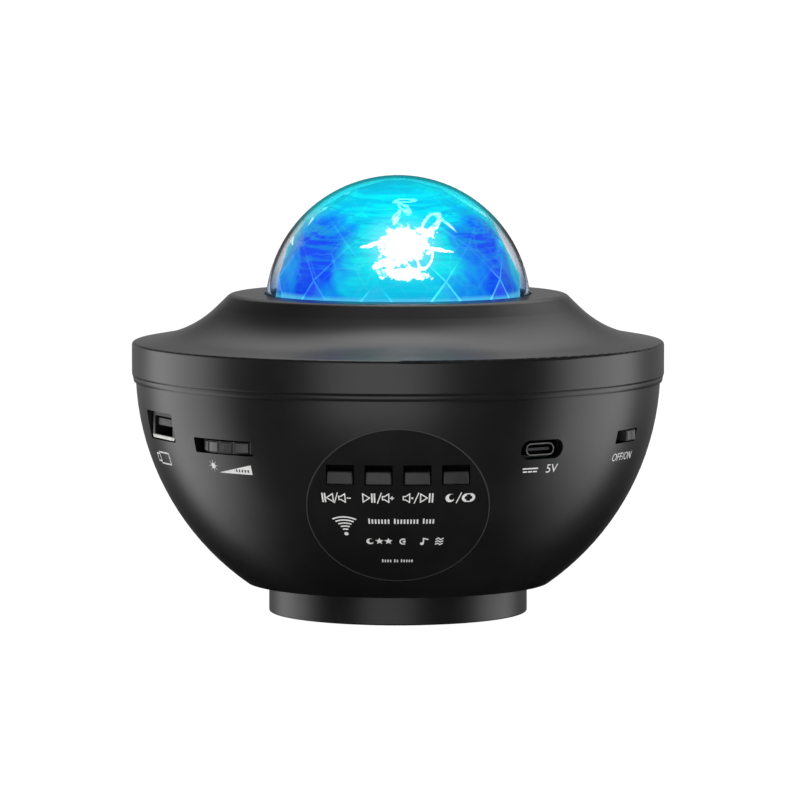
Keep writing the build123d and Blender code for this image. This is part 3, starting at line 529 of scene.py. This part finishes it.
    # a web of thin caustic lines, and a soft halo round the star
    web = addNode(tree, "TexVoronoi", {
        "Vector": bent, "Scale": look["web"], "Randomness": 1.0,
    }, feature="DISTANCE_TO_EDGE")
    webLine = ramp(tree, web, *look["webLine"], 0.0, look["webShare"])
    span = addNode(tree, "VectorMath", (bent,), operation="LENGTH").outputs["Value"]
    webReach = ramp(tree, span, *look["webReach"], look["webLeast"])
    webShare = addNode(tree, "Math", (webLine, webReach), operation="MULTIPLY")
    halo = ramp(tree, span, *look["haloReach"], 0.0, look["haloShare"], smooth=True)
    soft = addNode(tree, "Math", (webShare, halo), operation="MAXIMUM")
    lit = blend(tree, soft, rippled, look["pale"])
    # painted pale light along the foot of the dome, where the acrylic meets its gear
    foot = ramp(tree, rise, *look["footRise"], 0.0, look["footShare"])
    footLit = blend(tree, foot, lit, look["pale"])
    starred = blend(tree, lines, footLit, look["white"])

    # the white is brighter than the wash round it
    power = ramp(tree, lines, 0.0, 1.0, look["glow"], look["starGlow"])
    strength = addNode(tree, "Math", (onBore, power), operation="MULTIPLY")
    clear = addNode(tree, "Math", (1.0, onBore), operation="SUBTRACT")
    # each facet has its own tone, by the way it faces
    facing = addNode(tree, "NewGeometry").outputs["True Normal"]
    facing = addNode(
        tree, "VectorTransform", (facing,), vector_type="NORMAL", convert_from="WORLD", convert_to="OBJECT",
    )
    coarse = addNode(tree, "VectorMath", (facing, [look["facetSnap"]] * 3), operation="SNAP")
    chance = addNode(tree, "TexWhiteNoise", {"Vector": coarse}).outputs["Value"]
    facet = blend(tree, chance, look["facetPale"], look["facetBlue"])
    tint = blend(tree, onBore, facet, look["unlit"])
    shader = addNode(tree, "BsdfPrincipled", {
        "Base Color": tint, "Roughness": look["rough"], "IOR": look["ior"], "Transmission Weight": clear,
        "Emission Color": starred, "Emission Strength": strength,
    })
    addNode(tree, "OutputMaterial", (shader,))
    return material


def litEdge(look):
    # the rounded edges of the facets get a painted glow: bright low on the dome, fading upwards
    material, tree = startMaterial("litEdge")
    place = addNode(tree, "TexCoord").outputs["Object"]
    rise = addNode(tree, "SeparateXYZ", (place,)).outputs["Z"]
    patches = addNode(tree, "TexNoise", {"Vector": place, "Scale": 1 / (look["edgePatchMm"] * mm), "Detail": 2.0})
    start, full = ((look["centre"][2] + height) * mm for height in look["edgeRise"])
    fade = ramp(tree, rise, start, full, look["edgeLeast"])
    strong = ramp(tree, patches, *look["edgeSpan"], 0.0, look["edgeGlow"])
    glow = addNode(tree, "Math", (fade, strong), operation="MULTIPLY")
    shader = addNode(tree, "BsdfPrincipled", {
        "Base Color": linear(look["edgeClear"]), "Roughness": look["edgeRough"], "IOR": look["ior"],
        "Transmission Weight": 1.0, "Emission Color": linear(look["edgeBlue"]), "Emission Strength": glow,
    })
    addNode(tree, "OutputMaterial", (shader,))
    return material


def makeRippleDome(look):
    dome = nodes["ripple_dome"]
    dress(rippleAcrylic(look), "ripple_dome")
    dome.data.materials.append(litEdge(look))
    weld = dome.modifiers.new("weld", "WELD")
    weld.merge_threshold = look["weldMm"] * mm
    bevel = dome.modifiers.new("facetEdges", "BEVEL")
    bevel.width, bevel.segments = look["bevelMm"] * mm, look["bevelSegments"]
    bevel.limit_method, bevel.angle_limit = "ANGLE", math.radians(look["bevelDegrees"])
    bevel.material = 1  # the second on the dome, litEdge


makeRippleDome(rippleLook)
print("domes made")

# ---- printed signs ----
signLook = {
    # signs are drawn on a ball of this radius round the bowl's centre, then cast inwards from castMm out
    "ballMm": 72.0, "castMm": 80.0, "liftMm": 0.05, "inkMm": 0.03,
    "stepMm": 1.2,  # the longest piece of a line, so that it follows the bowl
    "penMm": 0.3, "slashMm": 0.28, "barMm": 0.42,  # widths of line in the key signs
    "fanParts": 10, "roundParts": 16,  # straight pieces in a curve
    "firstTall": 1.25,  # the first mark of a group, against the others
    "capShare": 0.72, "letterSteps": 3,  # a capital's height against the letters' size, and the steps in their curves
}


def strokes(points, width, closed=False):
    # a line of even width through points, as flat quads
    ends = list(zip(points, points[1:] + points[:1])) if closed else list(zip(points, points[1:]))
    shapes = []
    for (ax, ay), (bx, by) in ends:
        length = math.hypot(bx - ax, by - ay)
        cx, cy = (bx - ax) / length * width / 2, (by - ay) / length * width / 2
        count = max(1, math.ceil(length / signLook["stepMm"]))
        for k in range(count):
            s, e = k / count, (k + 1) / count
            # the two ends of the line reach half a width further
            grow = (-cx * (k == 0), -cy * (k == 0)), (cx * (k == count - 1), cy * (k == count - 1))
            px, py = ax + (bx - ax) * s + grow[0][0], ay + (by - ay) * s + grow[0][1]
            qx, qy = ax + (bx - ax) * e + grow[1][0], ay + (by - ay) * e + grow[1][1]
            shapes.append([(px + cy, py - cx), (qx + cy, qy - cx), (qx - cy, qy + cx), (px - cy, py + cx)])
    return shapes


def arc(x, y, radius, start, end, count):
    # points along an arc, from one angle in degrees to another
    turns = [math.radians(start + (end - start) * k / count) for k in range(count + 1)]
    return [(x + radius * math.cos(t), y + radius * math.sin(t)) for t in turns]


def disc(x, y, radius):
    return [arc(x, y, radius, 0, 360, signLook["roundParts"])[:-1]]


def between(a, b):
    # a row of quads between two lines with as many points
    return [[a[k], a[k + 1], b[k + 1], b[k]] for k in range(len(a) - 1)]


def fan(x, y, outer, inner, start, end):
    # a filled band between two arcs
    return between(*(arc(x, y, radius, start, end, signLook["fanParts"]) for radius in (outer, inner)))


def crescent(x, y, radius):
    # the inner edge is the outer one, made smaller and moved up to the right
    edge = arc(x, y, radius, 60, 330, signLook["roundParts"])
    return between(edge, [
        (x + radius * 0.35 + (px - x) * 0.62, y + radius * 0.2 + (py - y) * 0.72) for px, py in edge
    ])


def star(x, y, outer, inner, count):
    # kites that meet in the middle
    shapes = []
    for k in range(count):
        t, w = 2 * math.pi * k / count + math.pi / 2, math.pi / count
        tip = (x + outer * math.cos(t), y + outer * math.sin(t))
        left = (x + inner * math.cos(t + w), y + inner * math.sin(t + w))
        right = (x + inner * math.cos(t - w), y + inner * math.sin(t - w))
        shapes.append([(x, y), right, tip, left])
    return shapes


def wordShapes(text, height, x=0.0):
    # the plain built-in letters, as flat faces
    curve = bpy.data.curves.new("words", "FONT")
    curve.body, curve.size, curve.align_x, curve.align_y = text, height / signLook["capShare"], "CENTER", "CENTER"
    curve.resolution_u = signLook["letterSteps"]
    holder = bpy.data.objects.new("words", curve)
    flat = bpy.data.meshes.new_from_object(holder)
    corners = [(vertex.co.x + x, vertex.co.y) for vertex in flat.vertices]
    shapes = [[corners[i] for i in face.vertices] for face in flat.polygons]
    bpy.data.objects.remove(holder)
    bpy.data.curves.remove(curve)
    bpy.data.meshes.remove(flat)
    return shapes


def speakerSign(x):
    # a loudspeaker's outline
    outline = ((-0.9, 0.5), (-0.3, 0.5), (0.8, 1.3), (0.8, -1.3), (-0.3, -0.5), (-0.9, -0.5))
    return strokes([(x + across, up) for across, up in outline], signLook["penMm"], True)


def slashSign(x):
    return strokes([(x - 0.55, -1.5), (x + 0.55, 1.5)], signLook["slashMm"])


def triangleSign(x, way):
    # it points to the right for a way of one, and to the left for minus one
    return strokes([(x - 0.9 * way, 1.25), (x + 0.9 * way, 0.0), (x - 0.9 * way, -1.25)], signLook["penMm"], True)


def barSign(x):
    return strokes([(x, -1.2), (x, 1.2)], signLook["barMm"])


def pips(groups, width, height, pitch, gap):
    # a row of small upright marks in groups, level with its middle
    total = pitch * sum(groups) + gap * (len(groups) - 1)
    x, shapes = -total / 2, []
    for count in groups:
        for k in range(count):
            tall = height * (signLook["firstTall"] if k == 0 else 1.0)
            shapes += strokes([(x, -height / 2), (x, tall - height / 2)], width)
            x += pitch
        x += gap
    return shapes


def wedge(left, right, low, high, count, window):
    # a ramp that grows to the right, with a row of small windows in its thick end, each from a sill to a head
    shapes, step = [], (right - left) / (2 * count)
    for k in range(2 * count):
        a, b = left + step * k, left + step * (k + 1)
        topA, topB = (low + (high - low) * (x - left) / (right - left) for x in (a, b))
        if k % 2 and count < k < 2 * count - 1:
            sill, head = (low + edge for edge in window)
            shapes += [[(a, low), (b, low), (b, sill), (a, sill)], [(a, head), (b, head), (b, topB), (a, topA)]]
        else:
            shapes.append([(a, low), (b, low), (b, topB), (a, topA)])
    return shapes


pen = signLook["penMm"]
signs = {
    # name: node it is printed on, azimuth in degrees and height in mm, and its shapes, in mm across and up
    "previous_sign": ("control_panel", -14.62, 37.7, [
        *barSign(-3.6), *barSign(-2.9), *triangleSign(-1.6, -1), *slashSign(0.1), *speakerSign(1.8),
        *strokes([(3.2, 0.0), (4.0, 0.0)], pen),
    ]),
    "next_sign": ("control_panel", -4.65, 37.8, [
        *triangleSign(-3.1, 1), *barSign(-1.6), *barSign(-0.9), *slashSign(0.4), *speakerSign(2.1),
        *strokes([(3.35, 0.0), (4.15, 0.0)], pen), *strokes([(3.75, -0.4), (3.75, 0.4)], pen),
    ]),
    "play_sign": ("control_panel", 4.61, 37.8, [
        *speakerSign(-3.0), *disc(-1.5, 0.0, 0.3), *slashSign(-0.4), *triangleSign(1.6, 1), *barSign(3.1),
        *barSign(3.9),
    ]),
    "mode_sign": ("control_panel", 14.4, 37.7, [
        *crescent(-2.6, 0.0, 1.25), *slashSign(-0.2),
        *strokes([(1.9, 1.15), (3.0, 1.15)], pen), *strokes([(1.9, -1.15), (3.0, -1.15)], pen),
        *fan(1.9, 0.0, 1.3, 0.55, 90, 270), *fan(3.0, 0.0, 1.3, 0.55, -90, 90),
    ]),
    "receiver_sign": ("control_panel", -13.2, 27.6, [
        *disc(0.0, 0.0, 0.58),
        *(quad for k in range(5) for quad in fan(0.0, -0.9, 2.7 + k, 2.28 + k, 73 - 2.9 * k, 107 + 2.9 * k)),
    ]),
    "dash_rule": ("control_panel", 1.2, 31.2, pips((7, 8, 4), 0.42, 1.0, 0.86, 0.8)),
    "night_sign": ("control_panel", 2.4, 25.5, [
        *crescent(-9.9, 0.0, 1.0), *star(-7.4, 0.1, 1.15, 0.5, 5), *star(-5.0, 0.1, 1.15, 0.5, 5),
        *fan(-1.0, 0.0, 1.1, 0.72, 60, 300), *disc(-0.8, 0.0, 0.4),
        *strokes([(4.3, -0.8), (4.3, 1.05), (5.4, 0.7)], 0.38), *disc(3.95, -0.8, 0.5),
        *strokes([(7.7, 0.75), (8.2, 1.1), (8.9, 0.6), (9.5, 0.95)], 0.34),
        *strokes([(7.7, -0.15), (8.2, 0.2), (8.9, -0.3), (9.5, 0.05)], 0.34),
        *strokes([(7.7, -1.05), (8.2, -0.7), (8.9, -1.2), (9.5, -0.85)], 0.34),
    ]),
    "foot_rule": ("control_panel", 0.2, 19.8, pips((4, 2, 5), 0.34, 0.62, 0.7, 0.4)),
    "power_sign": ("lower_housing", 33.86, 44.75, [
        *strokes([(-5.9, 0.4), (-1.5, 0.4)], 0.38),
        *(quad for k in range(3) for quad in strokes([(-5.7 + 1.55 * k, -0.5), (-4.8 + 1.55 * k, -0.5)], 0.38)),
        *wordShapes("5V", 2.5, 3.2),
    ]),
    "switch_sign": ("lower_housing", 61.4, 45.9, wordShapes("OFF/ON", 2.3)),
    "stick_sign": ("lower_housing", -67.4, 44.9, [
        *strokes([(-2.6, 1.6), (4.2, 1.6), (4.2, -1.6), (-2.6, -1.6)], 0.45, True),
        *strokes([(-2.6, 1.05), (-5.0, 1.05), (-5.0, -1.05), (-2.6, -1.05)], 0.45),
    ]),
    "bright_sign": ("lower_housing", -45.9, 44.9, [
        *disc(0.0, 0.0, 0.75), *star(0.0, 0.0, 1.9, 0.35, 8),
    ]),
    "wedge_sign": ("lower_housing", -39.4, 44.1, wedge(-6.0, 5.7, -1.0, 1.75, 12, (0.55, 1.35))),
}


def makeSign(name, node, azimuth, height, shapes, material, slotBody="housing"):
    # each corner is carried along the ball's surface and then dropped onto the part it is printed on
    centre = Vector(bowlCentreMm) * mm
    part = nodes[node].data
    tree = BVHTree.FromPolygons([v.co for v in part.vertices], [p.vertices for p in part.polygons])
    ball = signLook["ballMm"]
    level = math.asin((height - bowlCentreMm[2]) / ball)
    points, faces = [], []
    for shape in shapes:
        faces.append(list(range(len(points), len(points) + len(shape))))
        for x, y in shape:
            turn, rise = math.radians(azimuth) + x / (ball * math.cos(level)), level + y / ball
            out = Vector((math.sin(turn) * math.cos(rise), -math.cos(turn) * math.cos(rise), math.sin(rise)))
            hit = tree.ray_cast(centre + out * signLook["castMm"] * mm, -out)[0]
            points.append(hit + out * signLook["liftMm"] * mm)
    mesh = bpy.data.meshes.new(name)
    mesh.from_pydata(points, [], faces)
    mesh.materials.append(material)
    sign = bpy.data.objects.new(name, mesh)
    bpy.context.scene.collection.objects.link(sign)
    thick = sign.modifiers.new("ink", "SOLIDIFY")
    thick.thickness, thick.offset = signLook["inkMm"] * mm, -1.0
    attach(sign, slotBody)


# silk-screened ink: opaque white, slightly uneven where the screen let less through
inkLook = {
    "colour": "#f2f2f0", "shade": "#dededc", "rough": (0.5, 0.6), "patchMm": 0.8, "grainMm": (0.25, 0.25, 0.25),
    "bumpMm": 0.004, "shader": {"Specular IOR Level": 0.3},
}
ink = surface("screenInk", inkLook)
for name, (node, azimuth, height, shapes) in signs.items():
    makeSign(name, node, azimuth, height, shapes, ink)
print("signs printed,", len(signs))

# ---- stage: floor, light tent and lamps ----
stageLook = {
    # sizes are in metres
    "floorSize": 60.0, "floorColour": "#f4f4f4", "floorShade": "#f8f8f8", "pulpPerMetre": 60.0, "pulpSpan": (0.3, 0.7),
    "floorDropMm": 0.05,  # a hair under the foot, so that the two faces don't share a plane
    # how much of the floor gives way to the white backdrop for the camera, and how bright that is
    "backdrop": 0.9, "backdropWhite": 1.1, "white": "#ffffff",
    "tentRadius": 2.4, "tentHeight": 0.06, "tentRings": 24, "tentParts": 48, "tentBase": 0.0,
    # bright places of the tent: azimuth from the front, half width and softness in degrees, the sines of the heights
    # where it begins, is full, fades and ends, and its strength
    "glows": (
        (-9.0, 9.0, 24.0, (-0.55, -0.08, 0.06, 0.36), 2.55),
        (-107.0, 9.0, 24.0, (-0.85, -0.4, 0.1, 0.5), 2.7),
        (97.0, 9.0, 23.0, (-0.85, -0.25, 0.1, 0.45), 3.0),
        (162.0, 20.0, 40.0, (0.15, 1.0, 0.93, 0.995), 2.2),
        (180.0, 40.0, 60.0, (-0.4, 0.1, 0.12, 0.3), 0.4),
        (-177.0, 8.0, 25.0, (0.78, 0.9, 0.97, 0.999), 1.8),
    ),
    "topGlow": (0.85, 0.98, 0.3),  # the sines where it begins and is full, and its strength
    "unlit": ("outer_dome", "ripple_dome"),
    # the world's light on matt surfaces, and where it was mirrored inside the domes
    "worldDiffuse": 0.5, "mirrored": 0.15,
    "lamps": (
        # place in metres, size in metres, watts
        ((-0.9, -1.1, 1.3), 0.9, 10.0), ((1.1, -0.7, 1.1), 0.9, 6.0), ((0.1, 0.5, 1.6), 1.1, 7.0),
    ),
}


def seesBackdrop(tree):
    # first, one for the camera and for what metal and glass show, and nought for other rays; second, one for what was
    # mirrored inside the domes, which meets the tent's dark cloth
    kinds = addNode(tree, "LightPath").outputs
    mirrored = addNode(tree, "Math", (kinds["Glossy Depth"], 0.5), operation="GREATER_THAN")
    dark = addNode(tree, "Math", (kinds["Is Transmission Ray"], mirrored), operation="MULTIPLY")
    through = addNode(tree, "Math", (kinds["Is Transmission Ray"], dark), operation="SUBTRACT")
    seen = addNode(tree, "Math", (kinds["Is Camera Ray"], kinds["Is Glossy Ray"]), operation="MAXIMUM")
    return addNode(tree, "Math", (seen, through), operation="MAXIMUM"), dark


def makeFloor(look):
    # pale paper sweep: the backdrop's own white for the camera and for what the glass and metal show, and a lit share
    # that keeps the object's shadow
    size = look["floorSize"] / 2
    mesh = bpy.data.meshes.new("floor")
    drop = -look["floorDropMm"] * mm
    corners = [(-size, -size, drop), (size, -size, drop), (size, size, drop), (-size, size, drop)]
    mesh.from_pydata(corners, [], [(0, 1, 2, 3)])
    floor = bpy.data.objects.new("floor", mesh)
    bpy.context.scene.collection.objects.link(floor)
    material, tree = startMaterial("paperSweep")
    place = addNode(tree, "TexCoord").outputs["Object"]
    pulp = addNode(tree, "TexNoise", {"Vector": place, "Scale": look["pulpPerMetre"], "Detail": 3.0})
    colours = (look["floorColour"], look["floorShade"])
    colour = addNode(tree, "ValToRGB", {"Fac": pulp}, stops=zip(look["pulpSpan"], colours))
    matt = addNode(tree, "BsdfDiffuse", {"Color": colour})
    white = addNode(tree, "Emission", {"Color": linear(look["white"]), "Strength": look["backdropWhite"]})
    share = addNode(tree, "Math", (seesBackdrop(tree)[0], look["backdrop"]), operation="MULTIPLY")
    both = addNode(tree, "MixShader", {0: share, 1: matt, 2: white})
    addNode(tree, "OutputMaterial", (both,))
    mesh.materials.append(material)
    floor.visible_glossy = False


def makeTent(look):
    # a fabric tent round the object, lit from outside in front, at both sides, behind and above; only reflections see
    # it, so that the black shell shows soft bands and dark edges
    mesh = bpy.data.meshes.new("lightTent")
    rings, parts, points, faces = look["tentRings"], look["tentParts"], [], []
    for i in range(rings + 1):
        for k in range(parts):
            rise, turn = math.pi * i / rings - math.pi / 2, 2 * math.pi * k / parts
            points.append([look["tentRadius"] * c for c in (
                math.cos(rise) * math.cos(turn), math.cos(rise) * math.sin(turn), math.sin(rise),
            )])
    for i in range(rings):
        for k in range(parts):
            a, b = i * parts + k, i * parts + (k + 1) % parts
            faces.append((a, b, b + parts, a + parts))
    mesh.from_pydata(points, [], faces)
    tent = bpy.data.objects.new("lightTent", mesh)
    bpy.context.scene.collection.objects.link(tent)
    tent.location = (0, 0, look["tentHeight"])
    material, tree = startMaterial("tentFabric")
    place = addNode(tree, "TexCoord").outputs["Object"]
    way = addNode(tree, "VectorMath", (place,), operation="NORMALIZE")
    level = addNode(tree, "VectorMath", (way, (1.0, 1.0, 0.0)), operation="MULTIPLY")
    level = addNode(tree, "VectorMath", (level,), operation="NORMALIZE")
    rise = addNode(tree, "SeparateXYZ", (way,)).outputs["Z"]
    start, full, bright = look["topGlow"]
    total = ramp(tree, rise, start, full, look["tentBase"], bright, smooth=True)
    for azimuth, halfWidth, softness, (start, full, fading, end), bright in look["glows"]:
        turn = math.radians(azimuth)
        near = addNode(tree, "VectorMath", (level, (math.sin(turn), -math.cos(turn), 0.0)), operation="DOT_PRODUCT")
        outer, inner = (math.cos(math.radians(width)) for width in (halfWidth + softness, halfWidth))
        band = ramp(tree, near.outputs["Value"], outer, inner, 0.0, bright, smooth=True)
        rising = ramp(tree, rise, start, full, smooth=True)
        falling = ramp(tree, rise, end, fading, smooth=True)
        part = addNode(tree, "Math", (band, rising), operation="MULTIPLY")
        part = addNode(tree, "Math", (part, falling), operation="MULTIPLY")
        total = addNode(tree, "Math", (total, part), operation="ADD")
    glow = addNode(tree, "Emission", {"Color": linear(look["white"]), "Strength": total})
    addNode(tree, "OutputMaterial", (glow,))
    material.cycles.emission_sampling = "NONE"
    mesh.materials.append(material)
    tent.visible_camera = tent.visible_diffuse = tent.visible_transmission = tent.visible_shadow = False
    # light linking keeps the tent's light off the two domes
    litByTent = bpy.data.collections.new("litByTent")
    for name, node in nodes.items():
        if name not in look["unlit"]:
            litByTent.objects.link(node)
    litByTent.objects.link(bpy.data.objects["skirt_bead"])
    tent.light_linking.receiver_collection = litByTent


def makeLamps(look):
    for k, (place, size, watts) in enumerate(look["lamps"]):
        data = bpy.data.lights.new(f"softLamp{k}", "AREA")
        data.shape, data.size, data.energy = "DISK", size, watts
        lamp = bpy.data.objects.new(f"softLamp{k}", data)
        lamp.location = place
        lamp.rotation_euler = (-Vector(place)).to_track_quat("-Z", "Y").to_euler()
        lamp.visible_glossy = lamp.visible_transmission = False
        bpy.context.scene.collection.objects.link(lamp)


def makeWorld(look):
    # white where the camera, glass or metal sees it, and a plain grey that lights the object
    world = bpy.data.worlds.new("studio")
    bpy.context.scene.world = world
    world.use_nodes = True
    tree = world.node_tree
    tree.nodes.clear()
    seen, dark = seesBackdrop(tree)
    strength = ramp(tree, seen, 0.0, 1.0, look["worldDiffuse"])
    strength = addNode(tree, "Mix", {0: dark, 2: strength, 3: look["mirrored"]})
    sky = addNode(tree, "Background", {"Color": linear(look["white"]), "Strength": strength})
    addNode(tree, "OutputWorld", (sky,))


makeFloor(stageLook)
makeTent(stageLook)
makeLamps(stageLook)
makeWorld(stageLook)
bpy.context.scene.view_settings.view_transform = "Standard"
print("stage set")
